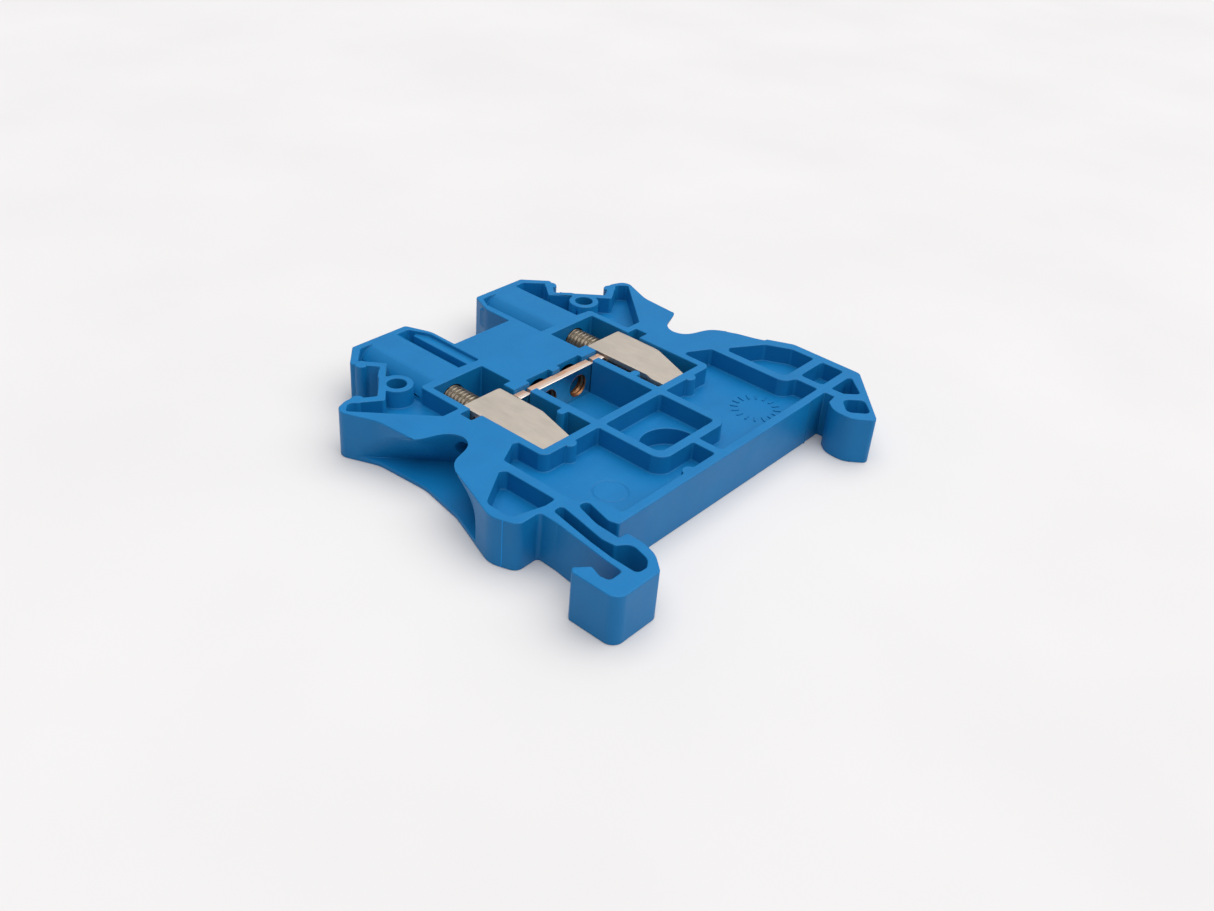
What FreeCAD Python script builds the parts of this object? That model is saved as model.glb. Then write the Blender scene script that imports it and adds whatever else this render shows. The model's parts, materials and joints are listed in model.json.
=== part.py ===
"""DIN rail feed-through terminal block for 2.5 mm2 wire, 5.2 mm wide, open on one side.

Frame, in millimetres: the origin is the centre of the seat that rests on the rail, at mid width.
+X runs along the block towards the fixed foot, +Y from the rail towards the screws and
+Z out of the open side.  The closed side lies at Z = -WIDTH / 2.
"""
import FreeCAD, Part
import math
import os

V = FreeCAD.Vector
X_AXIS = V(1, 0, 0)
Y_AXIS = V(0, 1, 0)
Z_AXIS = V(0, 0, 1)

# Driving dimensions of the housing
WIDTH = 5.2
RIM = WIDTH / 2              # open side
BACK = -WIDTH / 2            # closed side
SKIN = 0.6                   # wall left on the closed side under the clamp chambers
POCKET_DEPTH = 2.0           # moulded pockets, from either side
WEB = 1.0                    # web left between a front and a back pocket
TOP_Y = 39.6                 # shoulders
VALLEY_Y = 33.1              # edge between the shoulders
WALL = 1.0                   # ribs and rail wall
SEAT_RELIEF = 0.06           # keeps the seat off the rail beside the fixed foot
OVER = 1.0                   # how far a cutting tool reaches past the face it cuts

# Clamp chambers, one each side of the middle
CHAMBER_IN = 5.27
CHAMBER_OUT = 12.0
CHAMBER_LOW = 12.6
CHAMBER_TOP = 27.8
CHAMBER_CORNER = 0.15
SHAFT_FOOT = CHAMBER_TOP + 1.05
CELL_HALF = 4.25
CELL_FLOOR = BACK + 1.2

# Clamping screw, M3
SCREW_X = 9.3
SCREW_Z = 0.2
THREAD_R = 1.5
THREAD_ROOT_R = 1.2
THREAD_PITCH = 0.5
THREAD_CLEARANCE = 0.05
HEAD_R = 2.0
HEAD_HEIGHT = 1.8
HEAD_CHAMFER = 0.2
HEAD_GAP = 0.05
TIP_GAP = 0.1
THREAD_RUNOUT = 0.3
RECESS_R = 2.12
RECESS_HEIGHT = 2.0
RUNNING_CLEARANCE = 0.08
SLOT_WIDTH = 0.6
SLOT_DEPTH = 0.8
SHAFT_R = 1.85
RIDGE_R = 4.0
RIDGE_X = 9.1
RIDGE_Z = -1.1

# Current bar
BAR_LOW = 20.9
BAR_TOP = 22.0
BAR_HALF = 6.45
BAR_EDGE_Z = RIM - 0.45
TONGUE_END = 12.9
TONGUE_HALF = 1.35
BAR_GAP = 0.05
NICK_X = 4.75
NICK_HALF = 0.25
NICK_DEPTH = 0.35
BRIDGE_X = 2.3
BRIDGE_R = 1.25
BRIDGE_SHAFT_R = 1.7
PLATE_LOW = 22.65
REST_END = 13.4              # slot in the chamber's outer wall that holds the tongue's tip
REST_TOP = 22.4
REST_GAP = 0.1

# Clamp cage
CAGE_HALF = 2.6
CAGE_LOW = 12.75
CAGE_TOP = 23.7
CAGE_SIDE = 2.1
CAGE_WALL = 0.55
CAGE_BLOCK_LOW = 22.15
CLAMP_FLOOR_TOP = 17.3
CLAMP_FLOOR_LOW = 16.1

# Lugs on each clamp chamber's inner wall
LUG_X = 5.75
LUG_Y = 16.05
LUG_R = 0.45
LUG_ROOT = 0.1
SHOULDER_X = 6.3
SHOULDER_TOP = 23.6

# Wire entries
WIRE_Y = 19.2
WIRE_R = 1.45
WIRE_REACH = 6.5
FUNNEL_SKIN = 0.5
FUNNEL_INNER = 13.8
FUNNEL_REACH = 1.1           # how far the funnel's cutter runs, as a share of its depth
OUTSIDE_X = 26.0

# Sprung foot: the beams bend about FLEX, and the rigid foot starts at FLEX_R from it
FLEX_X = -18.3
FLEX_Y = 5.3
FLEX_R = 2.6
FLEX_GAP = 0.08

# Sockets for the pegs of a neighbouring block or an end plate
SOCKET_X = 14.1
SOCKET_Y = 30.85
SOCKET_R = 1.0
SOCKET_OUTER_R = 1.7
SOCKET_DEPTH = 4.2
VENT_R = 0.4


def mirrored(points):
    """The same corners on the other side of the middle."""
    return [(-x, y, r) for x, y, r in points]


def rounded_wire(corners, z=0.0):
    """Closed wire through (x, y, radius) corners, each one rounded to its radius."""
    count = len(corners)
    arcs = []
    for i, (x, y, radius) in enumerate(corners):
        corner = V(x, y, z)
        before = V(corners[i - 1][0], corners[i - 1][1], z) - corner
        after = V(corners[(i + 1) % count][0], corners[(i + 1) % count][1], z) - corner
        if radius == 0:
            arcs.append((corner, None, corner))
            continue
        half = before.getAngle(after) / 2
        before.normalize()
        after.normalize()
        bisector = before + after
        bisector.normalize()
        reach = radius / math.tan(half)
        middle = corner + bisector * (radius / math.sin(half) - radius)
        arcs.append((corner + before * reach, middle, corner + after * reach))
    edges = []
    for i, (start, middle, end) in enumerate(arcs):
        if middle is not None:
            edges.append(Part.Arc(start, middle, end).toShape())
        following = arcs[(i + 1) % count][0]
        edges.append(Part.LineSegment(end, following).toShape())
    return Part.Wire(edges)


def prism(corners, low, high):
    """Rounded polygon drawn out from one Z to another."""
    face = Part.Face(rounded_wire(corners, low))
    return face.extrude(Z_AXIS * (high - low))


def block(x0, x1, y0, y1, z0, z1):
    return Part.makeBox(x1 - x0, y1 - y0, z1 - z0, V(x0, y0, z0))


def rod(radius, start, axis, length):
    return Part.makeCylinder(radius, length, start, axis)


def joined(shapes):
    return shapes[0].multiFuse(shapes[1:]).removeSplitter()


# ---------------------------------------------------------------- outline

NUBS = [(14.2, 36.2), (18.95, 31.1)]
NUB_R = 0.7

UPPER_SIDE = [
    (4.1, VALLEY_Y, 0.15),
    (4.1, 36.7, 2.6),
    (5.3, TOP_Y, 0.5),
    (12.6, TOP_Y, 0.4),
    (15.05, 37.0, 0.4),
    (13.15, 34.6, 0.25),
    (17.1, 30.25, 0.25),
    (19.7, 31.75, 1.0),
    (21.95, 30.9, 1.1),
    (20.1, 26.6, 4.0),
    (19.65, 20.4, 6.0),
    (20.6, 15.2, 4.0),
]

FIXED_FOOT = [
    (23.95, 8.2, 1.4),
    (23.85, -0.35, 0.9),
    (16.6, -6.8, 0.6),
    (14.9, -4.75, 2.2),
    (15.0, -2.45, 2.2),
    (16.1, -1.3, 0.5),
    (17.45, -1.1, 0.12),
    (17.45, SEAT_RELIEF, 0.12),
    (14.9, SEAT_RELIEF, 0.0),
    (14.9, 0.0, 0.0),
]

RAIL_SLOT = [
    (-15.75, 0.0, 0.3),
    (-16.05, 1.0, 1.0),
    (-15.2, 4.15, 0.45),
    (-16.25, 4.3, 0.45),
    (-17.1, 1.4, 3.0),
    (-17.2, -1.2, 0.15),
]

SPRUNG_FOOT = [
    (-16.2, -1.3, 0.15),
    (-16.2, -3.2, 4.0),
    (-16.7, -4.9, 3.0),
    (-18.2, -6.6, 0.7),
    (-23.6, -6.6, 1.15),
    (-23.55, -1.55, 0.3),
    (-23.1, -1.1, 0.25),
    (-21.8, -2.2, 0.3),
    (-22.25, -3.5, 0.4),
    (-22.1, -4.4, 0.4),
    (-20.5, -4.4, 0.35),
    (-20.35, -2.4, 0.0),
    (-20.0, 0.3, 3.0),
    (-19.55, 3.8, 3.0),
    (-19.5, 5.9, 0.4),
]

BUMP = [
    (-22.15, 5.85, 1.0),
    (-23.1, 8.5, 2.6),
    (-21.9, 11.7, 3.0),
]

BEAM_SLOT = [
    (-17.35, 5.35, 0.4),
    (-17.9, 2.4, 0.0),
    (-18.45, -0.3, 2.0),
    (-18.3, -1.75, 0.5),
    (-17.1, -2.6, 1.0),
    (-17.7, -4.8, 1.2),
    (-18.6, -5.45, 0.8),
    (-19.75, -5.4, 0.5),
    (-19.7, -2.6, 0.0),
    (-19.35, 0.2, 4.0),
    (-18.45, 5.2, 0.4),
]

FOOT_ZONE = [
    (-26.0, -8.0, 0.0),
    (-15.9, -8.0, 0.0),
    (-15.9, -0.6, 0.0),
    (-16.6, -0.6, 0.0),
    (-16.55, 1.2, 0.0),
    (-15.9, 3.7, 0.0),
    (-16.6, 4.7, 0.0),
    (-26.0, 4.7, 0.0),
]


def outline():
    """Outer shape of the moulding, with the slot that the rail's near edge enters."""
    left = mirrored(UPPER_SIDE)
    left.reverse()
    return UPPER_SIDE + FIXED_FOOT + RAIL_SLOT + SPRUNG_FOOT + BUMP + left


def blank():
    """The moulding's outline, with the slot between the foot's beams."""
    return prism(outline(), BACK, RIM).cut(prism(BEAM_SLOT, BACK - OVER, RIM + OVER))


def nubs():
    """Round beads on the walls of the marker grooves."""
    return [rod(NUB_R, V(side * x, y, BACK), Z_AXIS, WIDTH) for x, y in NUBS for side in (-1, 1)]


# ---------------------------------------------------------------- pockets

LOWER_LEFT = [
    (-16.0, 13.8, 0.4),
    (-13.4, 15.2, 0.3),
    (-12.9, 15.0, 0.2),
    (-12.9, 11.6, 0.9),
    (-CHAMBER_IN, 11.6, 0.2),
    (-CHAMBER_IN, 3.65, 1.5),
    (-0.5, 3.65, 0.2),
    (-0.5, WALL, 0.3),
    (-14.2, WALL, 0.3),
    (-14.2, 3.4, 1.2),
    (-16.0, 5.2, 0.8),
]

LOWER_RIGHT = [
    (16.0, 13.8, 0.4),
    (13.4, 15.2, 0.3),
    (12.9, 15.0, 0.2),
    (12.9, 11.6, 0.9),
    (CHAMBER_IN, 11.6, 0.2),
    (CHAMBER_IN, 3.65, 1.5),
    (0.5, 3.65, 0.2),
    (0.5, WALL, 0.3),
    (17.5, WALL, 0.3),
    (17.5, 3.7, 0.35),
    (16.0, 4.3, 1.3),
]

SIDE_CELLS = [
    [(-17.1, 12.3, 0.3), (-17.6, 12.75, 0.3), (-21.85, 10.1, 1.0), (-21.85, 7.2, 0.8),
     (-18.4, 6.3, 0.3), (-17.1, 6.35, 0.3)],
    [(17.1, 12.2, 0.3), (17.7, 12.65, 0.3), (21.4, 10.4, 0.8), (22.8, 7.7, 0.6),
     (22.8, 4.9, 0.3), (17.1, 4.9, 0.6)],
    [(18.6, 3.8, 0.4), (22.8, 3.8, 0.4), (22.8, 1.1, 0.4), (18.6, 1.1, 0.4)],
    [(18.65, 0.0, 0.3), (22.5, 0.0, 0.3), (19.95, -2.75, 0.4), (18.75, -1.5, 0.4)],
    [(15.75, -3.7, 0.6), (17.6, -2.0, 0.7), (19.15, -3.7, 0.6), (17.3, -5.6, 0.6)],
]

SHOULDER_OUTER = [
    (9.5, 38.75, 0.0),
    (12.2, 38.75, 0.2),
    (14.0, 36.95, 0.2),
    (12.1, 34.6, 0.2),
    (17.05, 29.1, 0.4),
    (19.1, 30.45, 0.3),
    (20.1, 31.1, 0.5),
    (21.15, 30.1, 0.3),
    (14.9, 23.2, 0.4),
    (12.85, 23.2, 0.2),
    (12.85, 28.85, 0.5),
    (9.5, 28.85, 0.0),
]

SHOULDER_INNER = [
    (4.55, 28.95, 0.2),
    (4.55, 36.6, 2.2),
    (5.7, 38.75, 0.3),
    (8.4, 38.75, 0.0),
    (8.4, 28.95, 0.0),
]
LEDGE = (4.3, 5.6, 28.9, 38.0)
LEDGE_DROP = 0.45

LOWER_CELL_LOW = 4.7
LOWER_CELL_TOP = 11.55
LOWER_CELL = [
    (-CELL_HALF, LOWER_CELL_LOW, 0.9),
    (CELL_HALF, LOWER_CELL_LOW, 0.4),
    (CELL_HALF, LOWER_CELL_TOP, 0.3),
    (-CELL_HALF, LOWER_CELL_TOP, 0.3),
]
CUP_Y = 6.5
CUP_R = 3.15
CUP_FLOOR = BACK + 1.3

# Tie from the ring socket to the marker wall
TIE = [(14.0, 32.0, 0.0), (15.2, 31.6, 0.0), (14.6, 33.2, 0.0), (13.6, 34.2, 0.0)]

# Half-round ejector pads on the ribs, and the ring that an ejector pin leaves on a floor
PADS = [(-SCREW_X, 11.75), (SCREW_X, 11.75), (-4.65, 0.85)]
PAD_R = 0.75
MARK_X = -10.3
MARK_Y = 5.5
MARK_R = 1.75
MARK_LINE = 0.1
MARK_DEPTH = 0.05


def front_pocket(corners):
    return prism(corners, RIM - POCKET_DEPTH, RIM + OVER)


def back_pocket(corners):
    return prism(corners, BACK - OVER, RIM - POCKET_DEPTH - WEB)


def square_cells():
    """The shallow lower cell, its deep round cup, and the deep upper cell."""
    cup = rod(CUP_R, V(0, CUP_Y, CUP_FLOOR), Z_AXIS, WIDTH)
    cup = cup.common(block(-CELL_HALF, CELL_HALF, LOWER_CELL_LOW, LOWER_CELL_TOP, BACK, RIM))
    upper = block(-CELL_HALF, CELL_HALF, CHAMBER_LOW, BAR_TOP + BAR_GAP, CELL_FLOOR, RIM + OVER)
    return [front_pocket(LOWER_CELL), cup, upper]


def pockets():
    """Everything that the mould forms as an open pocket, on both sides."""
    tools = [front_pocket(LOWER_LEFT), front_pocket(LOWER_RIGHT)]
    tools += [front_pocket(cell) for cell in SIDE_CELLS]
    for corners in (SHOULDER_OUTER, SHOULDER_INNER):
        tools += [front_pocket(corners), front_pocket(mirrored(corners))]
    tools += [back_pocket(LOWER_LEFT), back_pocket(LOWER_RIGHT)]
    tools += [back_pocket(cell) for cell in SIDE_CELLS]
    return tools + square_cells()


def ridge(side):
    """Half-round tube over the screwdriver shaft, flush with the open side."""
    tube = rod(RIDGE_R, V(side * RIDGE_X, CHAMBER_TOP, RIDGE_Z), Y_AXIS, TOP_Y - CHAMBER_TOP)
    return tube.common(prism(outline(), BACK, RIM))


def shoulder_details(side):
    """Ridge, ledge in the inner slot, ring socket and its tie to the marker wall."""
    x0, x1, y0, y1 = LEDGE
    low, high = sorted((side * x0, side * x1))
    ledge = block(low, high, y0, y1, 0, RIM - LEDGE_DROP)
    socket = rod(SOCKET_OUTER_R, V(side * SOCKET_X, SOCKET_Y, 0), Z_AXIS, RIM)
    tie = prism(TIE if side > 0 else mirrored(TIE), 0, RIM)
    return [ridge(side), ledge, socket, tie]


def pads():
    return [rod(PAD_R, V(x, y, 0), Z_AXIS, RIM) for x, y in PADS]


# ---------------------------------------------------------------- chambers and bores


def chamber_cuts(side):
    """Clamp chamber, the rest for the bar's tip, and the bores for screw, driver and wire."""
    low, high = sorted((side * CHAMBER_IN, side * CHAMBER_OUT))
    corners = [(x, y, CHAMBER_CORNER) for x, y in ((low, CHAMBER_LOW), (high, CHAMBER_LOW),
                                                   (high, CHAMBER_TOP), (low, CHAMBER_TOP))]
    chamber = prism(corners, BACK + SKIN, RIM + OVER)
    low, high = sorted((side * (CHAMBER_OUT - WALL), side * REST_END))
    rest = block(low, high, BAR_LOW - REST_GAP, REST_TOP, SCREW_Z - TONGUE_HALF - REST_GAP, RIM + OVER)
    shank = rod(THREAD_R + RUNNING_CLEARANCE, V(side * SCREW_X, CHAMBER_TOP - OVER, SCREW_Z), Y_AXIS,
                2 * OVER + WALL)
    recess = rod(RECESS_R, V(side * SCREW_X, SHAFT_FOOT, SCREW_Z), Y_AXIS, RECESS_HEIGHT)
    shaft = rod(SHAFT_R, V(side * SCREW_X, SHAFT_FOOT, SCREW_Z), Y_AXIS, TOP_Y - SHAFT_FOOT + OVER)
    wire = rod(WIRE_R, V(side * (CHAMBER_OUT - OVER), WIRE_Y, SCREW_Z), X_AXIS * side, WIRE_REACH)
    return [chamber, rest, shank, recess, shaft, wire]


def chamber_lugs(side):
    """Shoulder above the bar and the rounded lug that guides the cage."""
    floor = BACK + SKIN / 2
    root = CHAMBER_IN - LUG_ROOT
    low, high = sorted((side * root, side * SHOULDER_X))
    shoulder = block(low, high, BAR_TOP + BAR_GAP, SHOULDER_TOP, floor, RIM)
    low, high = sorted((side * root, side * LUG_X))
    stem = block(low, high, LUG_Y - LUG_R, LUG_Y + LUG_R, floor, RIM)
    nose = rod(LUG_R, V(side * LUG_X, LUG_Y, floor), Z_AXIS, RIM - floor)
    return [shoulder, stem, nose]


def bar_cuts():
    """Seat across the middle for the current bar, with the two bridge-screw shafts above it."""
    seat = block(-BAR_HALF - BAR_GAP, BAR_HALF + BAR_GAP, BAR_LOW - BAR_GAP, BAR_TOP + BAR_GAP,
                 CELL_FLOOR, RIM + OVER)
    tools = [seat]
    for side in (-1, 1):
        x = side * BRIDGE_X
        tools.append(rod(BRIDGE_SHAFT_R, V(x, BAR_TOP, SCREW_Z), Y_AXIS, VALLEY_Y - BAR_TOP + OVER))
        tools.append(block(x - BRIDGE_SHAFT_R, x + BRIDGE_SHAFT_R, BAR_TOP, PLATE_LOW, SCREW_Z, RIM + OVER))
    return tools


FUNNEL_RIM = [(21.9, 29.6), (20.9, 26.2), (20.4, 23.6), (19.8, 22.0), (18.0, 21.2), (16.6, 20.4),
              (16.1, 19.3), (16.5, 18.1), (17.8, 17.35), (19.5, 16.7), (20.5, 15.6), (21.4, 13.4),
              (22.25, 11.0)]
FUNNEL_BASE = [(21.7, 29.4), (19.9, 27.6), (18.2, 25.7), (16.6, 23.8), (15.2, 22.2), (14.2, 20.7),
               (FUNNEL_INNER, 19.3), (14.2, 17.9), (15.2, 16.5), (16.6, 15.2), (18.4, 13.8), (20.3, 12.4),
               (22.25, 11.0)]


def funnel(side):
    """Wire entry: a mouth that is wide by the closed side and narrows towards the rim."""
    wires = []
    low = BACK + FUNNEL_SKIN
    for share in (0.0, FUNNEL_REACH):
        z = low + (RIM - low) * share
        points = [V(side * (bx + (rx - bx) * share), by + (ry - by) * share, z)
                  for (rx, ry), (bx, by) in zip(FUNNEL_RIM, FUNNEL_BASE)]
        curve = Part.BSplineCurve()
        curve.interpolate(points)
        outer = [V(side * OUTSIDE_X, points[-1].y, z), V(side * OUTSIDE_X, points[0].y, z)]
        path = [points[-1]] + outer + [points[0]]
        lines = [Part.LineSegment(a, b).toShape() for a, b in zip(path, path[1:])]
        wires.append(Part.Wire([curve.toShape()] + lines))
    return Part.makeLoft(wires, True, True)


def sockets():
    """Peg sockets, each with a vent through its floor that lets the air out."""
    cuts = []
    for side in (-1, 1):
        x = side * SOCKET_X
        cuts.append(rod(SOCKET_R, V(x, SOCKET_Y, RIM - SOCKET_DEPTH), Z_AXIS, SOCKET_DEPTH + OVER))
        cuts.append(rod(VENT_R, V(x, SOCKET_Y, BACK - OVER), Z_AXIS, WIDTH))
    return cuts


def ejector_mark():
    """Shallow ring that an ejector pin leaves on the pocket floor."""
    floor = RIM - POCKET_DEPTH
    ring = rod(MARK_R, V(MARK_X, MARK_Y, floor - MARK_DEPTH), Z_AXIS, 2 * MARK_DEPTH)
    return ring.cut(rod(MARK_R - MARK_LINE, V(MARK_X, MARK_Y, floor - OVER), Z_AXIS, 2 * OVER))


def moulding():
    """The whole blue moulding, before the foot is set apart."""
    body = blank().cut(pockets())
    details = nubs() + pads()
    for side in (-1, 1):
        details += shoulder_details(side)
    body = joined([body] + details)
    cuts = bar_cuts() + sockets() + [ejector_mark()]
    for side in (-1, 1):
        cuts += chamber_cuts(side)
    body = body.cut(cuts)
    lugs = chamber_lugs(-1) + chamber_lugs(1)
    body = joined([body] + lugs)
    return body.cut([funnel(-1), funnel(1)])


def split_foot(body):
    """Cut the moulding on a circle about the point that the foot's two beams bend about."""
    centre = V(FLEX_X, FLEX_Y, BACK - OVER)
    zone = prism(FOOT_ZONE, BACK - OVER, RIM + OVER)
    foot_tool = zone.cut(rod(FLEX_R + FLEX_GAP, centre, Z_AXIS, WIDTH + 2 * OVER))
    housing_tool = zone.cut(rod(FLEX_R, centre, Z_AXIS, WIDTH + 2 * OVER))
    return body.cut(housing_tool), body.common(foot_tool)


# ---------------------------------------------------------------- metal parts


def current_bar():
    """Stamped bar, wide between the chambers, with a tongue into each clamp and two threaded holes."""
    middle = block(-BAR_HALF, BAR_HALF, BAR_LOW, BAR_TOP, CELL_FLOOR + BAR_GAP, BAR_EDGE_Z)
    tongues = block(-TONGUE_END, TONGUE_END, BAR_LOW, BAR_TOP, SCREW_Z - TONGUE_HALF, SCREW_Z + TONGUE_HALF)
    bar = joined([middle, tongues])
    cuts = []
    for side in (-1, 1):
        x = side * NICK_X
        cuts.append(block(x - NICK_HALF, x + NICK_HALF, BAR_LOW - OVER, BAR_TOP + OVER,
                          BAR_EDGE_Z - NICK_DEPTH, RIM))
        cuts.append(rod(BRIDGE_R, V(side * BRIDGE_X, BAR_LOW - OVER, SCREW_Z), Y_AXIS,
                        BAR_TOP - BAR_LOW + 2 * OVER))
    return bar.cut(cuts)


CAGE_LEFT = [
    (-CAGE_HALF, CAGE_LOW, 0.2),
    (-CAGE_HALF, CAGE_TOP, 0.2),
    (CAGE_HALF, CAGE_TOP, 0.3),
    (CAGE_HALF, 17.7, 2.5),
    (1.2, CAGE_LOW, 0.2),
]
CAGE_RIGHT = [
    (-2.9, CAGE_LOW, 0.2),
    (-2.9, 14.5, 0.5),
    (-CAGE_HALF, 15.4, 0.5),
    (-CAGE_HALF, CAGE_TOP, 0.2),
    (CAGE_HALF, CAGE_TOP, 0.3),
    (CAGE_HALF, 18.0, 4.0),
    (0.5, CAGE_LOW, 0.2),
]


def clamp_cage(corners, x):
    """Steel yoke: threaded block above the bar, clamping floor below it and two side plates."""
    placed = [(x + dx, y, r) for dx, y, r in corners]
    body = prism(placed, SCREW_Z - CAGE_SIDE, SCREW_Z + CAGE_SIDE)
    inner = CAGE_SIDE - CAGE_WALL
    low, high = x - CAGE_HALF - OVER, x + CAGE_HALF + OVER
    window = block(low, high, CLAMP_FLOOR_TOP, CAGE_BLOCK_LOW, SCREW_Z - inner, SCREW_Z + inner)
    skirt = block(low, high, CAGE_LOW - OVER, CLAMP_FLOOR_LOW, SCREW_Z - inner, SCREW_Z + inner)
    hole = rod(THREAD_R + THREAD_CLEARANCE, V(x, CAGE_BLOCK_LOW - OVER, SCREW_Z), Y_AXIS,
               CAGE_TOP - CAGE_BLOCK_LOW + 2 * OVER)
    return body.cut([window, skirt, hole])


def clamp_screw(x):
    """Captive M3 screw: grooved shank, cheese head with a slot, turned about Y."""
    tip = BAR_TOP + TIP_GAP
    head_low = SHAFT_FOOT + HEAD_GAP
    head_top = head_low + HEAD_HEIGHT
    profile = [V(x, tip, SCREW_Z), V(x + THREAD_ROOT_R, tip, SCREW_Z)]
    y = tip + THREAD_PITCH / 2
    while y + THREAD_PITCH < head_low - THREAD_RUNOUT:
        profile.append(V(x + THREAD_R, y, SCREW_Z))
        profile.append(V(x + THREAD_ROOT_R, y + THREAD_PITCH / 2, SCREW_Z))
        y += THREAD_PITCH
    profile.append(V(x + THREAD_ROOT_R, head_low, SCREW_Z))
    profile += [V(x + HEAD_R, head_low, SCREW_Z), V(x + HEAD_R, head_top - HEAD_CHAMFER, SCREW_Z)]
    profile += [V(x + HEAD_R - HEAD_CHAMFER, head_top, SCREW_Z), V(x, head_top, SCREW_Z)]
    profile.append(profile[0])
    screw = Part.Face(Part.makePolygon(profile)).revolve(V(x, 0, SCREW_Z), Y_AXIS, 360)
    slot = block(x - HEAD_R - OVER, x + HEAD_R + OVER, head_top - SLOT_DEPTH, head_top + OVER,
                 SCREW_Z - SLOT_WIDTH / 2, SCREW_Z + SLOT_WIDTH / 2)
    return screw.cut(slot)


def solid_of(shape):
    """The one solid that a sub-part is made of."""
    if len(shape.Solids) != 1:
        raise ValueError(f"expected one solid, found {len(shape.Solids)}")
    return shape.Solids[0]


def main():
    housing, foot = split_foot(moulding())
    nodes = {
        "housing": housing,
        "spring_foot": foot,
        "current_bar": current_bar(),
        "clamp_cage_left": clamp_cage(CAGE_LEFT, -SCREW_X),
        "clamp_cage_right": clamp_cage(CAGE_RIGHT, SCREW_X),
        "clamp_screw_left": clamp_screw(-SCREW_X),
        "clamp_screw_right": clamp_screw(SCREW_X),
    }
    os.makedirs("parts", exist_ok=True)
    for name, shape in nodes.items():
        solid = solid_of(shape)
        box = solid.BoundBox
        print(f"{name}: {solid.Volume:.1f} mm3, valid {solid.isValid()}, "
              f"{box.XLength:.2f} x {box.YLength:.2f} x {box.ZLength:.2f} mm")
        solid.exportStep(f"parts/{name}.step")


main()
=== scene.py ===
"""Looks of the DIN rail terminal block: smooth moulding, threaded screws, plated clamps, tinned bar."""
import json
import math

import bmesh
import bpy
from mathutils import Matrix, Vector
from mathutils.bvhtree import BVHTree


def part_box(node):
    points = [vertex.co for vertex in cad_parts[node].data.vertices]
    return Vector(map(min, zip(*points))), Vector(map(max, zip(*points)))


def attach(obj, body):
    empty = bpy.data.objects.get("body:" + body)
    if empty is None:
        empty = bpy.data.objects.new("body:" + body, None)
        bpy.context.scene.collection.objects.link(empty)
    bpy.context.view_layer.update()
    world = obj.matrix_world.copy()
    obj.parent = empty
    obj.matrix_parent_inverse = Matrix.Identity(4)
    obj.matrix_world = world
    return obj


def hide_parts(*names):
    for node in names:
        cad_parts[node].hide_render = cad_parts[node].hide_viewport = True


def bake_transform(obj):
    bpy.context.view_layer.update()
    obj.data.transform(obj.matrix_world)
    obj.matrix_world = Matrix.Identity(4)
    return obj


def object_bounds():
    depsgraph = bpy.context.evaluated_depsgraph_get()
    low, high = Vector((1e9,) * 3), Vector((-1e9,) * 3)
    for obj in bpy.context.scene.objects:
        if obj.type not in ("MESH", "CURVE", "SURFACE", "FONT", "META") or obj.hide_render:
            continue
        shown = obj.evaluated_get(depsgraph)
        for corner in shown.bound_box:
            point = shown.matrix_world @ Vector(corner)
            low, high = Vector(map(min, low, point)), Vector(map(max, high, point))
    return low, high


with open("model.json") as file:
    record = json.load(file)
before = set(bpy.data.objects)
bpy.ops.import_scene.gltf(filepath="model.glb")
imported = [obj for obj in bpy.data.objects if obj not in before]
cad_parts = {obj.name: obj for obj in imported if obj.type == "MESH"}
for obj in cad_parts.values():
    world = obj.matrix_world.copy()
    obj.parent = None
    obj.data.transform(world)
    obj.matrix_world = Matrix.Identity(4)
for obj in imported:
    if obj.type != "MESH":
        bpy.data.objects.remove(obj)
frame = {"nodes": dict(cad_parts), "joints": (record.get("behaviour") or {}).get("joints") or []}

cad_low, cad_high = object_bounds()

MM = 0.001
JOINTS = {joint["name"]: joint for joint in frame["joints"]}
FLOOR_Z = cad_low.z
RIM_Z = cad_high.z

# Every length below is in millimetres of the shared frame, and every plain angle in degrees

# Camera: place, target, roll about its view, and focal length
CAMERA_AT = Vector((-83.6, -51.4, 65.6))
CAMERA_TARGET = Vector((-5.32, 10.2, 0.0))
CAMERA_ROLL = -4.985
CAMERA_LENS = 36.27

# Light: a pale sky and one wide sun, with the direction that it shines from
SKY_COLOUR = (0.93, 0.95, 1.0)
SKY_STRENGTH = 0.4
SUN_FROM = (0.16, -0.22, 1.0)
SUN_WIDTH = 90
SUN_STRENGTH = 3.25
SUN_COLOUR = (1.0, 0.99, 0.97)
GROUND_HALF_SIZE = 3000

# Width of the rounding on the edges of the moulding, the metal parts and the ticks
MOULD_EDGE = 0.11
METAL_EDGE = 0.07
TICK_EDGE = 0.03

# An edge is rounded above SHARP_ANGLE, and shaded as a crease above SMOOTH_ANGLE
SHARP_ANGLE = math.radians(32)
SMOOTH_ANGLE = math.radians(40)

# Faces that meet within FLAT_ANGLE are joined, and points nearer than a weld distance are made one
FLAT_ANGLE = math.radians(0.6)
CAD_WELD = 0.002
ROUNDING_WELD = 0.0005

# A rounded vertex that leaves the old skin by more than this share of the width is a spike
SPIKE_SHARE = 0.5

# Deepest, usual and palest blue of the moulding, and how much paler the flash line is
BLUES = ((0.003, 0.143, 0.365), (0.004, 0.158, 0.395), (0.005, 0.172, 0.425))
FLASH_LIFT = 1.7

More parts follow.
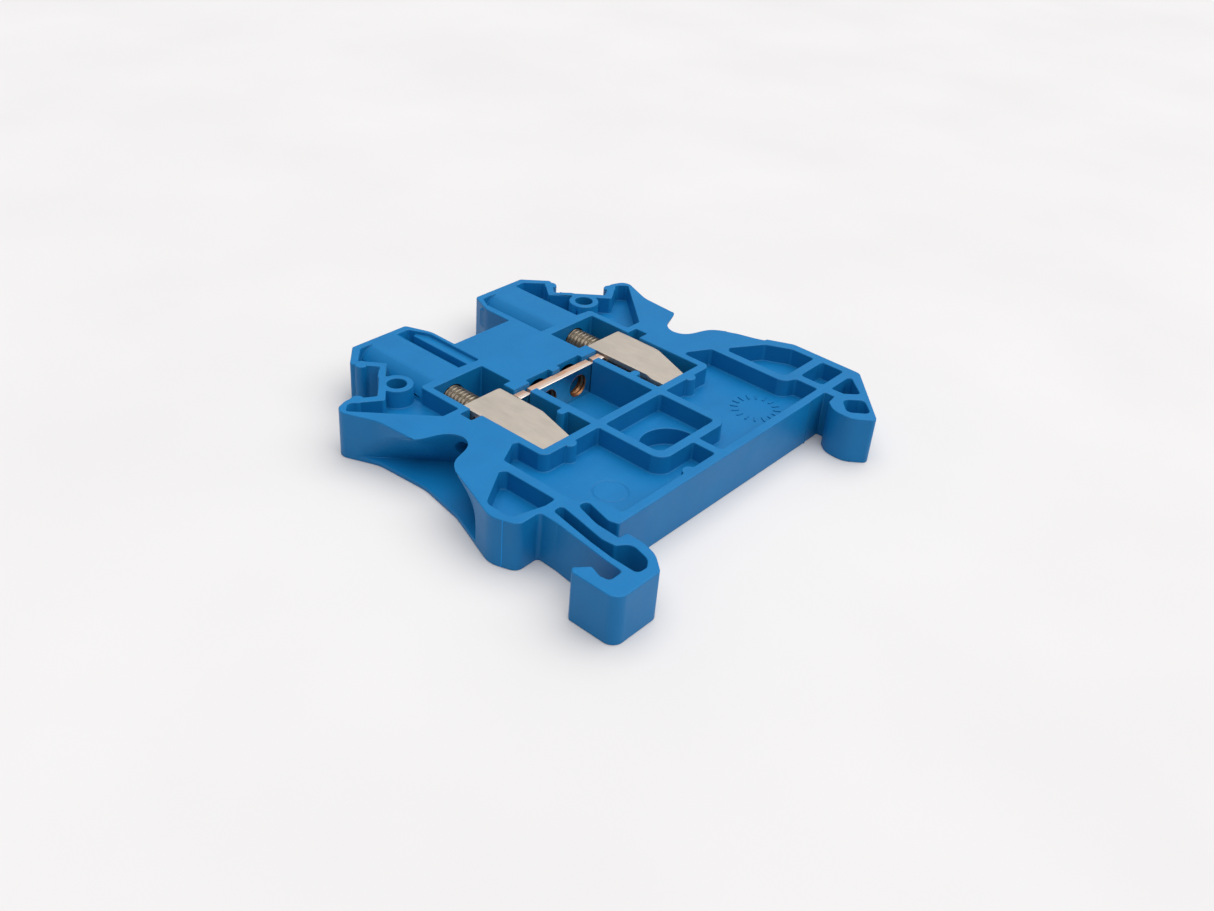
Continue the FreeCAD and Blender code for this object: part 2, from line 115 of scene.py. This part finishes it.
# Dark and light tone of the metals and of the ground
STEEL = ((0.57, 0.51, 0.445), (0.64, 0.575, 0.50))
SCREW_STEEL = ((0.22, 0.185, 0.145), (0.36, 0.315, 0.25))
BARE_COPPER = ((0.26, 0.115, 0.05), (0.45, 0.22, 0.11))
SHEARED_COPPER = ((0.78, 0.45, 0.29), (0.92, 0.64, 0.47))
TIN = ((0.66, 0.63, 0.60), (0.80, 0.78, 0.76))
SMEARED_TIN = (0.90, 0.78, 0.69)
PAPER = ((0.65, 0.64, 0.64), (0.68, 0.67, 0.67))

# Height on the bar's sheared edge, as a share from its lower face, where smeared tin gives way to copper
SMEAR_FROM = 0.35
SMEAR_TO = 0.5

# Cut that sets the sprung foot apart in CAD, and how close to its arc a face of it lies
FLEX_GAP = 0.08
ARC_TOLERANCE = 0.01

# Extra cuts that let the skin bend: first height, step, count, limit in X, and reach from each height
BEND_TOP = 5.0
BEND_STEP = 0.6
BEND_CUTS = 12
BEND_SIDE = -15.4
BEND_REACH = 6

# Flash line on the bump over the sprung foot, and its length as a share of the thickness
SEAM_Y = 7.3
SEAM_R = 0.05
SEAM_SHARE = 0.96

# Ring of plain ticks on the right pocket's floor
TICKS_AT = (12.15, 4.85)
TICKS = 16
TICK_INNER = 1.85
TICK_OUTER = 2.65
TICK_WIDTH = 0.2
TICK_HEIGHT = 0.11
POCKET_DEPTH = 2.0

# Clamp screw's thread, and the lengths over which its crest rises and fades
THREAD_R = 1.5
THREAD_ROOT = 1.2
THREAD_PITCH = 0.5
THREAD_RISE = 0.35
THREAD_FADE = 0.3
AROUND = 40
RINGS_PER_TURN = 10

# Plain ends of the screw: its tip's width as a share of the root, the tip's length and the neck's
TIP_SHARE = 0.8
TIP_LENGTH = 0.05
NECK_LENGTH = 0.25

# Screw head: height, and its lower and upper edge as (inset, distance from the face)
HEAD_HEIGHT = 1.8
HEAD_UNDERSIDE = ((0.12, 0.0), (0.0, 0.12))
HEAD_CROWN = ((0.0, 0.3), (0.1, 0.08), (0.3, 0.0))

# Driver slot, and how it stands in each screw
SLOT_WIDTH = 0.6
SLOT_DEPTH = 0.7
SLOT_TURNS = {"left": 25, "right": -40}
CUTTER_EXCESS = 0.1

# Threads in the bar's two bridge-screw holes
BRIDGE_X = 2.3
BRIDGE_Z = 0.2
BRIDGE_ROOT = 1.24
BRIDGE_CREST = 1.05
BRIDGE_WALL = 1.249
BRIDGE_RINGS_PER_TURN = 8


# ---------------------------------------------------------------- materials


def new_material(name):
    material = bpy.data.materials.new(name)
    material.use_nodes = True
    tree = material.node_tree
    tree.nodes.clear()
    output = tree.nodes.new("ShaderNodeOutputMaterial")
    shader = tree.nodes.new("ShaderNodeBsdfPrincipled")
    tree.links.new(shader.outputs[0], output.inputs[0])
    return material, tree, shader


def add_node(tree, kind, **inputs):
    node = tree.nodes.new("ShaderNode" + kind)
    for name, value in inputs.items():
        node.inputs[name].default_value = value
    return node


def noise(tree, scale, detail=3.0, stretch=(1, 1, 1)):
    """Noise in object coordinates, drawn out along the axes with a small stretch."""
    place = tree.nodes.new("ShaderNodeTexCoord")
    mapping = add_node(tree, "Mapping", Scale=stretch)
    texture = add_node(tree, "TexNoise", Scale=scale, Detail=detail)
    tree.links.new(place.outputs["Object"], mapping.inputs["Vector"])
    tree.links.new(mapping.outputs[0], texture.inputs["Vector"])
    return texture.outputs["Fac"]


def ramp(tree, source, stops):
    """Colours or greys laid along a value, as (position, colour) stops."""
    node = tree.nodes.new("ShaderNodeValToRGB")
    elements = node.color_ramp.elements
    while len(elements) < len(stops):
        elements.new(0.5)
    for element, (position, colour) in zip(elements, stops):
        element.position = position
        element.color = (*colour, 1.0)
    tree.links.new(source, node.inputs[0])
    return node.outputs["Color"]


def mix(tree, factor, first, second):
    """Mixes two colours; each input is a value or another node's output."""
    node = tree.nodes.new("ShaderNodeMix")
    node.data_type = "RGBA"
    for socket, value in ((node.inputs[0], factor), (node.inputs[6], first), (node.inputs[7], second)):
        if isinstance(value, bpy.types.NodeSocket):
            tree.links.new(value, socket)
        else:
            socket.default_value = value if isinstance(value, float) else (*value, 1.0)
    return node.outputs[2]


def add_bump(tree, shader, height, strength, distance):
    node = add_node(tree, "Bump", Strength=strength, Distance=distance)
    tree.links.new(height, node.inputs["Height"])
    tree.links.new(node.outputs[0], shader.inputs["Normal"])


def grey(value):
    return (value, value, value)


def plastic(name, lift=1.0):
    """Polyamide: satin, slightly mottled, with faint flow marks and a fine moulded grain; lift pales it."""
    material, tree, shader = new_material(name)
    mottle = noise(tree, 260, 4.0)
    flow = noise(tree, 90, 2.0, (1, 5, 1))
    deep, plain, pale = (tuple(lift * c for c in colour) for colour in BLUES)
    base = ramp(tree, mottle, [(0.3, deep), (0.7, plain)])
    colour = mix(tree, ramp(tree, flow, [(0.35, grey(0.0)), (0.75, grey(0.35))]), base, pale)
    tree.links.new(colour, shader.inputs["Base Color"])
    gloss = ramp(tree, noise(tree, 420, 5.0), [(0.3, grey(0.36)), (0.7, grey(0.46))])
    tree.links.new(gloss, shader.inputs["Roughness"])
    shader.inputs["Subsurface Weight"].default_value = 0.08
    shader.inputs["Subsurface Radius"].default_value = (0.0003, 0.0006, 0.0012)
    shader.inputs["Specular IOR Level"].default_value = 0.22
    add_bump(tree, shader, noise(tree, 3200, 3.0), 0.12, 0.00003)
    return material


def metal(name, tones, roughness, stretch, bump):
    """Plain metal with drawn marks along the axis of small stretch and cloudy stains."""
    material, tree, shader = new_material(name)
    dark, light = tones
    streaks = noise(tree, 1500, 4.0, stretch)
    clouds = noise(tree, 350, 5.0)
    base = ramp(tree, streaks, [(0.3, dark), (0.7, light)])
    stain = ramp(tree, clouds, [(0.5, grey(0.0)), (0.8, grey(0.25))])
    tree.links.new(mix(tree, stain, base, tuple(0.8 * c for c in dark)), shader.inputs["Base Color"])
    gloss = ramp(tree, clouds, [(0.3, grey(roughness - 0.04)), (0.7, grey(roughness + 0.06))])
    tree.links.new(gloss, shader.inputs["Roughness"])
    shader.inputs["Metallic"].default_value = 1.0
    add_bump(tree, shader, streaks, bump, 0.00003)
    return material


def bar_metal():
    """Tinned faces across Y, and a sheared edge that is bright copper above and smeared tin below."""
    material, tree, shader = new_material("tinned_copper")
    geometry = tree.nodes.new("ShaderNodeNewGeometry")
    split = tree.nodes.new("ShaderNodeSeparateXYZ")
    place = tree.nodes.new("ShaderNodeTexCoord")
    position = tree.nodes.new("ShaderNodeSeparateXYZ")
    tree.links.new(geometry.outputs["Normal"], split.inputs[0])
    tree.links.new(place.outputs["Object"], position.inputs[0])
    facing = tree.nodes.new("ShaderNodeMath")
    facing.operation = "ABSOLUTE"
    tree.links.new(split.outputs["Y"], facing.inputs[0])
    faces = ramp(tree, facing.outputs[0], [(0.55, grey(0.0)), (0.75, grey(1.0))])
    low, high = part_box("current_bar")
    smear = tree.nodes.new("ShaderNodeMapRange")
    smear.inputs["From Min"].default_value = low.y + SMEAR_FROM * (high.y - low.y)
    smear.inputs["From Max"].default_value = low.y + SMEAR_TO * (high.y - low.y)
    smear.inputs["To Min"].default_value = 1.0
    smear.inputs["To Max"].default_value = 0.0
    tree.links.new(position.outputs["Y"], smear.inputs["Value"])
    copper = ramp(tree, noise(tree, 2200, 4.0, (0.3, 1, 1)), list(zip((0.3, 0.7), SHEARED_COPPER)))
    tin = ramp(tree, noise(tree, 900, 4.0), list(zip((0.3, 0.7), TIN)))
    edge = mix(tree, smear.outputs[0], copper, SMEARED_TIN)
    tree.links.new(mix(tree, faces, edge, tin), shader.inputs["Base Color"])
    gloss = ramp(tree, facing.outputs[0], [(0.5, grey(0.42)), (0.8, grey(0.2))])
    tree.links.new(gloss, shader.inputs["Roughness"])
    shader.inputs["Metallic"].default_value = 1.0
    add_bump(tree, shader, noise(tree, 2600, 3.0, (0.2, 1, 1)), 0.2, 0.00002)
    return material


def ground_material():
    material, tree, shader = new_material("ground_paper")
    tint = ramp(tree, noise(tree, 30, 3.0), list(zip((0.3, 0.7), PAPER)))
    tree.links.new(tint, shader.inputs["Base Color"])
    shader.inputs["Roughness"].default_value = 0.8
    return material


# ---------------------------------------------------------------- mesh helpers


def edit(data):
    mesh = bmesh.new()
    mesh.from_mesh(data)
    return mesh


def store(mesh, data):
    mesh.to_mesh(data)
    mesh.free()
    return data


def new_object(name, mesh, material):
    obj = bpy.data.objects.new(name, mesh)
    bpy.context.scene.collection.objects.link(obj)
    mesh.materials.clear()
    mesh.materials.append(material)
    return obj


def clean_copy(nodes, name):
    """The CAD nodes' faces as one mesh, each node welded, and with flat areas joined up."""
    mesh = bmesh.new()
    for node in nodes:
        part = edit(frame["nodes"][node].data)
        bmesh.ops.remove_doubles(part, verts=part.verts, dist=CAD_WELD * MM)
        welded = store(part, bpy.data.meshes.new("part"))
        mesh.from_mesh(welded)
        bpy.data.meshes.remove(welded)
    bmesh.ops.dissolve_limit(mesh, angle_limit=FLAT_ANGLE, verts=mesh.verts, edges=mesh.edges)
    return store(mesh, bpy.data.meshes.new(name))


def bevelled(obj, width, segments):
    """Rounds the sharp edges of obj, bakes the result, pulls spikes back to the old skin and welds it."""
    mark_sharp_edges(obj.data)
    bevel = obj.modifiers.new("rounding", "BEVEL")
    bevel.limit_method = "WEIGHT"
    bevel.width = width * MM
    bevel.segments = segments
    bevel.use_clamp_overlap = False
    bevel.miter_outer = "MITER_ARC"
    corners = [v.co.copy() for v in obj.data.vertices]
    skin = BVHTree.FromPolygons(corners, [p.vertices for p in obj.data.polygons])
    bake_modifiers(obj)
    for vertex in obj.data.vertices:
        nearest, _, _, distance = skin.find_nearest(vertex.co)
        if distance > SPIKE_SHARE * width * MM:
            vertex.co = nearest
        vertex.co.z = min(max(vertex.co.z, FLOOR_Z), RIM_Z)
    mesh = edit(obj.data)
    bmesh.ops.remove_doubles(mesh, verts=mesh.verts, dist=ROUNDING_WELD * MM)
    store(mesh, obj.data)


def mark_sharp_edges(data):
    name = "bevel_weight_edge"
    mesh = edit(data)
    weight = mesh.edges.layers.float.get(name) or mesh.edges.layers.float.new(name)
    for edge in mesh.edges:
        if len(edge.link_faces) == 2 and edge.calc_face_angle(0.0) > SHARP_ANGLE:
            edge[weight] = 1.0
    store(mesh, data)


def bake_modifiers(obj):
    graph = bpy.context.evaluated_depsgraph_get()
    baked = bpy.data.meshes.new_from_object(obj.evaluated_get(graph))
    material = obj.data.materials[0]
    obj.modifiers.clear()
    obj.data = baked
    baked.materials.clear()
    baked.materials.append(material)


def smooth(obj):
    """Soft shading over rounded edges, with flat faces kept flat."""
    for polygon in obj.data.polygons:
        polygon.use_smooth = True
    obj.data.set_sharp_from_angle(angle=SMOOTH_ANGLE)
    normals = obj.modifiers.new("normals", "WEIGHTED_NORMAL")
    normals.keep_sharp = True
    normals.weight = 90


def finish_piece(obj, body, slot, *nodes):
    if body:
        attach(obj, body)
    if nodes:
        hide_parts(*nodes)
    return obj


# ---------------------------------------------------------------- moulding


def close_flex_gap(data, pivot):
    """Joins each beam of the sprung foot to the housing across the narrow cut between them."""
    cut = min((v.co.xy - pivot).length for v in frame["nodes"]["spring_foot"].data.vertices)
    mesh = edit(data)

    def is_cap(face, radius):
        return abs(face.normal.z) < 0.5 and all(
            v.co.y < pivot.y and abs((v.co.xy - pivot).length - radius) < ARC_TOLERANCE * MM
            for v in face.verts)

    caps = [f for f in mesh.faces if is_cap(f, cut) or is_cap(f, cut - FLEX_GAP * MM)]
    bmesh.ops.delete(mesh, geom=caps, context="FACES")
    ends = open_loops(mesh)
    middles = [sum((v.co for e in loop for v in e.verts), Vector()) / (2 * len(loop)) for loop in ends]
    while len(ends) > 1:
        loop, middle = ends.pop(), middles.pop()
        partner = min(range(len(ends)), key=lambda i: (middles[i] - middle).length)
        bmesh.ops.bridge_loops(mesh, edges=list(loop) + list(ends.pop(partner)))
        middles.pop(partner)
    bmesh.ops.recalc_face_normals(mesh, faces=mesh.faces)
    store(mesh, data)


def open_loops(mesh):
    """Sets of boundary edges that hang together."""
    waiting = {e for e in mesh.edges if e.is_boundary}
    loops = []
    while waiting:
        loop, fringe = set(), [waiting.pop()]
        while fringe:
            edge = fringe.pop()
            loop.add(edge)
            near = {e for v in edge.verts for e in v.link_edges} & waiting
            waiting -= near
            fringe += near
        loops.append(loop)
    return loops


def cut_for_bending(data):
    """Cuts the skin across at even heights on the sprung foot's side, so that it can follow a curve."""
    mesh = edit(data)
    for step in range(BEND_CUTS):
        level = (BEND_TOP - BEND_STEP * step) * MM
        zone = [v for v in mesh.verts
                if v.co.x < BEND_SIDE * MM and abs(v.co.y - level) < BEND_REACH * MM]
        edges = {e for v in zone for e in v.link_edges}
        faces = {f for v in zone for f in v.link_faces}
        bmesh.ops.bisect_plane(mesh, geom=[*zone, *edges, *faces], dist=1e-7,
                               plane_co=(0, level, 0), plane_no=(0, 1, 0))
    store(mesh, data)


def moulding(material):
    """Housing and sprung foot as one skin, with cuts across the foot's beams for bending."""
    joint = JOINTS["foot_flex"]
    pivot = Vector(joint["pos_m"][:2])
    obj = new_object("moulding", clean_copy(["housing", "spring_foot"], "moulding"), material)
    close_flex_gap(obj.data, pivot)
    bevelled(obj, MOULD_EDGE, 2)
    cut_for_bending(obj.data)
    smooth(obj)
    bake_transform(obj)
    return finish_piece(obj, None, "blue_plastic", "housing", "spring_foot")


def seam_line(material, skin):
    """Thin flash line where the mould's halves met, on the bump over the sprung foot."""
    middle = (RIM_Z + FLOOR_Z) / 2
    _, at, _, _ = skin.ray_cast(Vector((2 * cad_low.x, SEAM_Y * MM, middle)), Vector((1, 0, 0)))
    mesh = bmesh.new()
    bmesh.ops.create_cone(mesh, cap_ends=True, segments=12, radius1=SEAM_R * MM, radius2=SEAM_R * MM,
                          depth=SEAM_SHARE * (RIM_Z - FLOOR_Z))
    obj = new_object("seam", store(mesh, bpy.data.meshes.new("seam")), material)
    obj.location = (at.x, at.y, middle)
    smooth(obj)
    return finish_piece(obj, "block", "blue_plastic")


def tick_ring(material):
    """Ring of raised plain ticks, as a mould insert leaves on a pocket floor."""
    mesh = bmesh.new()
    length = (TICK_OUTER - TICK_INNER) * MM
    size = Matrix.Diagonal((length, TICK_WIDTH * MM, 2 * TICK_HEIGHT * MM, 1.0))
    out = Matrix.Translation(((TICK_INNER + TICK_OUTER) / 2 * MM, 0, 0))
    for i in range(TICKS):
        turn = Matrix.Rotation(2 * math.pi * (i + 0.5) / TICKS, 4, "Z")
        bmesh.ops.create_cube(mesh, size=1.0, matrix=turn @ out @ size)
    obj = new_object("tick_ring", store(mesh, bpy.data.meshes.new("ticks")), material)
    obj.location = (TICKS_AT[0] * MM, TICKS_AT[1] * MM, RIM_Z - POCKET_DEPTH * MM)
    bevelled(obj, TICK_EDGE, 1)
    smooth(obj)
    return finish_piece(obj, "block", "blue_plastic")


# ---------------------------------------------------------------- metal parts


def build_metal(steel, screw, copper, brown):
    for side in ("left", "right"):
        clamp_cage(side, steel)
        clamp_screw(side, screw)
    current_bar(copper)
    for side in (-1, 1):
        bridge_thread(side, brown)


def clamp_cage(side, material):
    node = "clamp_cage_" + side
    obj = new_object("cage_" + side, clean_copy([node], node), material)
    bevelled(obj, METAL_EDGE, 2)
    smooth(obj)
    return finish_piece(obj, "cage_" + side, "plated_steel", node)


def current_bar(material):
    bar = new_object("bar", clean_copy(["current_bar"], "bar"), material)
    bevelled(bar, METAL_EDGE, 2)
    smooth(bar)
    return finish_piece(bar, "block", "tinned_copper", "current_bar")


def lathed(rings, capped=True):
    """Closed mesh through rings of equal count, with capped ends or joined back to its first ring."""
    mesh = bmesh.new()
    rows = [[mesh.verts.new(p) for p in ring] for ring in rings]
    count = len(rows[0])
    for a, b in zip(rows, rows[1:] if capped else rows[1:] + rows[:1]):
        for i in range(count):
            j = (i + 1) % count
            mesh.faces.new((a[i], a[j], b[j], b[i]))
    if capped:
        mesh.faces.new(rows[0])
        mesh.faces.new(list(reversed(rows[-1])))
    bmesh.ops.recalc_face_normals(mesh, faces=mesh.faces)
    return mesh


def thread_radius(phase, root, crest):
    """Trapezoid thread form over one turn, from 0 to 1."""
    rise = abs(2 * (phase % 1.0) - 1)
    share = min(1.0, max(0.0, (rise - 0.2) / 0.6))
    return (root + (crest - root) * share) * MM


def thread_rings(low, high, root, crest, rings_per_turn):
    """Rings of a right-hand thread along Y, fading out at both ends."""
    count = int((high - low) / THREAD_PITCH * rings_per_turn)
    rings = []
    for i in range(count + 1):
        y = low + (high - low) * i / count
        fade = min(1.0, (y - low) / THREAD_RISE, (high - y) / THREAD_FADE)
        top = root + (crest - root) * max(0.0, fade)
        ring = []
        for k in range(AROUND):
            turn = 2 * math.pi * k / AROUND
            radius = thread_radius(y / THREAD_PITCH + k / AROUND, root, top)
            ring.append(Vector((radius * math.cos(turn), y * MM, radius * math.sin(turn))))
        rings.append(ring)
    return rings


def round_ring(radius, y):
    turns = [2 * math.pi * k / AROUND for k in range(AROUND)]
    return [Vector((radius * math.cos(turn), y, radius * math.sin(turn))) for turn in turns]


def clamp_screw(side, material):
    """Screw with a helical thread, a round-edged cheese head and a driver slot."""
    node = "clamp_screw_" + side
    low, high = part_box(node)
    centre = (low + high) / 2
    head = (high.x - low.x) / 2
    head_low = high.y - HEAD_HEIGHT * MM
    rings = [round_ring(THREAD_ROOT * MM * TIP_SHARE, low.y)]
    rings += thread_rings(low.y / MM + TIP_LENGTH, head_low / MM - NECK_LENGTH,
                          THREAD_ROOT, THREAD_R, RINGS_PER_TURN)
    rings.append(round_ring(THREAD_ROOT * MM, head_low))
    rings += [round_ring(head - inset * MM, head_low + rise * MM) for inset, rise in HEAD_UNDERSIDE]
    rings += [round_ring(head - inset * MM, high.y - drop * MM) for inset, drop in HEAD_CROWN]
    obj = new_object("screw_" + side, store(lathed(rings), bpy.data.meshes.new(node)), material)
    obj.location = (centre.x, 0, centre.z)
    cut_slot(obj, Vector((centre.x, high.y, centre.z)), head, SLOT_TURNS[side])
    smooth(obj)
    return finish_piece(obj, "screw_" + side, "screw_steel", node)


def cut_slot(obj, crown, head, turn):
    """Cuts a driver slot across the screw head whose top has its middle at crown."""
    mesh = bmesh.new()
    size = (3 * head, (SLOT_DEPTH + CUTTER_EXCESS) * MM, SLOT_WIDTH * MM, 1.0)
    bmesh.ops.create_cube(mesh, size=1.0, matrix=Matrix.Diagonal(size))
    cutter = new_object("cutter", store(mesh, bpy.data.meshes.new("cutter")), obj.data.materials[0])
    cutter.location = crown - Vector((0, (SLOT_DEPTH - CUTTER_EXCESS) / 2 * MM, 0))
    cutter.rotation_euler = (0, math.radians(turn), 0)
    slot = obj.modifiers.new("slot", "BOOLEAN")
    slot.operation = "DIFFERENCE"
    slot.object = cutter
    slot.solver = "EXACT"
    bpy.context.view_layer.update()
    bake_modifiers(obj)
    bpy.data.objects.remove(cutter)


def bridge_thread(side, material):
    """Thread cut inside one of the bar's two bridge-screw holes, as a thin threaded ring."""
    low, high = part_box("current_bar")
    rings = thread_rings(low.y / MM, high.y / MM, BRIDGE_ROOT, BRIDGE_CREST, BRIDGE_RINGS_PER_TURN)
    rings += [round_ring(BRIDGE_WALL * MM, high.y), round_ring(BRIDGE_WALL * MM, low.y)]
    data = store(lathed(rings, capped=False), bpy.data.meshes.new("bridge_thread"))
    obj = new_object("bridge_thread_" + ("left" if side < 0 else "right"), data, material)
    obj.location = (BRIDGE_X * side * MM, 0, BRIDGE_Z * MM)
    smooth(obj)
    return finish_piece(obj, "block", "tinned_copper")


# ---------------------------------------------------------------- stage


def camera():
    data = bpy.data.cameras.new("camera")
    data.lens = CAMERA_LENS
    data.clip_start = 0.001
    data.clip_end = 10
    obj = bpy.data.objects.new("camera", data)
    bpy.context.scene.collection.objects.link(obj)
    forward = (CAMERA_TARGET - CAMERA_AT).normalized()
    right = forward.cross(Vector((0, 0, 1))).normalized()
    up = right.cross(forward)
    aim = Matrix((right, up, -forward)).transposed()
    roll = Matrix.Rotation(math.radians(CAMERA_ROLL), 3, forward)
    obj.matrix_world = Matrix.Translation(CAMERA_AT * MM) @ (roll @ aim).to_4x4()
    bpy.context.scene.camera = obj


def ground():
    mesh = bmesh.new()
    bmesh.ops.create_grid(mesh, x_segments=1, y_segments=1, size=GROUND_HALF_SIZE * MM)
    obj = new_object("ground", store(mesh, bpy.data.meshes.new("ground")), ground_material())
    obj.location.z = FLOOR_Z


def lights():
    world = bpy.data.worlds.new("world")
    bpy.context.scene.world = world
    world.use_nodes = True
    sky = world.node_tree.nodes["Background"]
    sky.inputs["Color"].default_value = (*SKY_COLOUR, 1.0)
    sky.inputs["Strength"].default_value = SKY_STRENGTH
    sun = bpy.data.lights.new("key", "SUN")
    sun.energy = SUN_STRENGTH
    sun.angle = math.radians(SUN_WIDTH)
    sun.color = SUN_COLOUR
    lamp = bpy.data.objects.new("key", sun)
    bpy.context.scene.collection.objects.link(lamp)
    lamp.rotation_euler = Vector(SUN_FROM).to_track_quat("Z", "Y").to_euler()


def main():
    blue = plastic("blue_polyamide")
    steel = metal("plated_steel", STEEL, 0.5, (1, 0.3, 1), 0.12)
    screw = metal("screw_steel", SCREW_STEEL, 0.45, (1, 1, 1), 0.15)
    brown = metal("bare_copper", BARE_COPPER, 0.4, (1, 1, 1), 0.15)
    copper = bar_metal()
    skin = moulding(blue)
    seam_line(plastic("flash_line", FLASH_LIFT), skin)
    tick_ring(blue)
    build_metal(steel, screw, copper, brown)
    ground()
    lights()
    bpy.context.scene.view_settings.view_transform = "Standard"
    camera()


main()
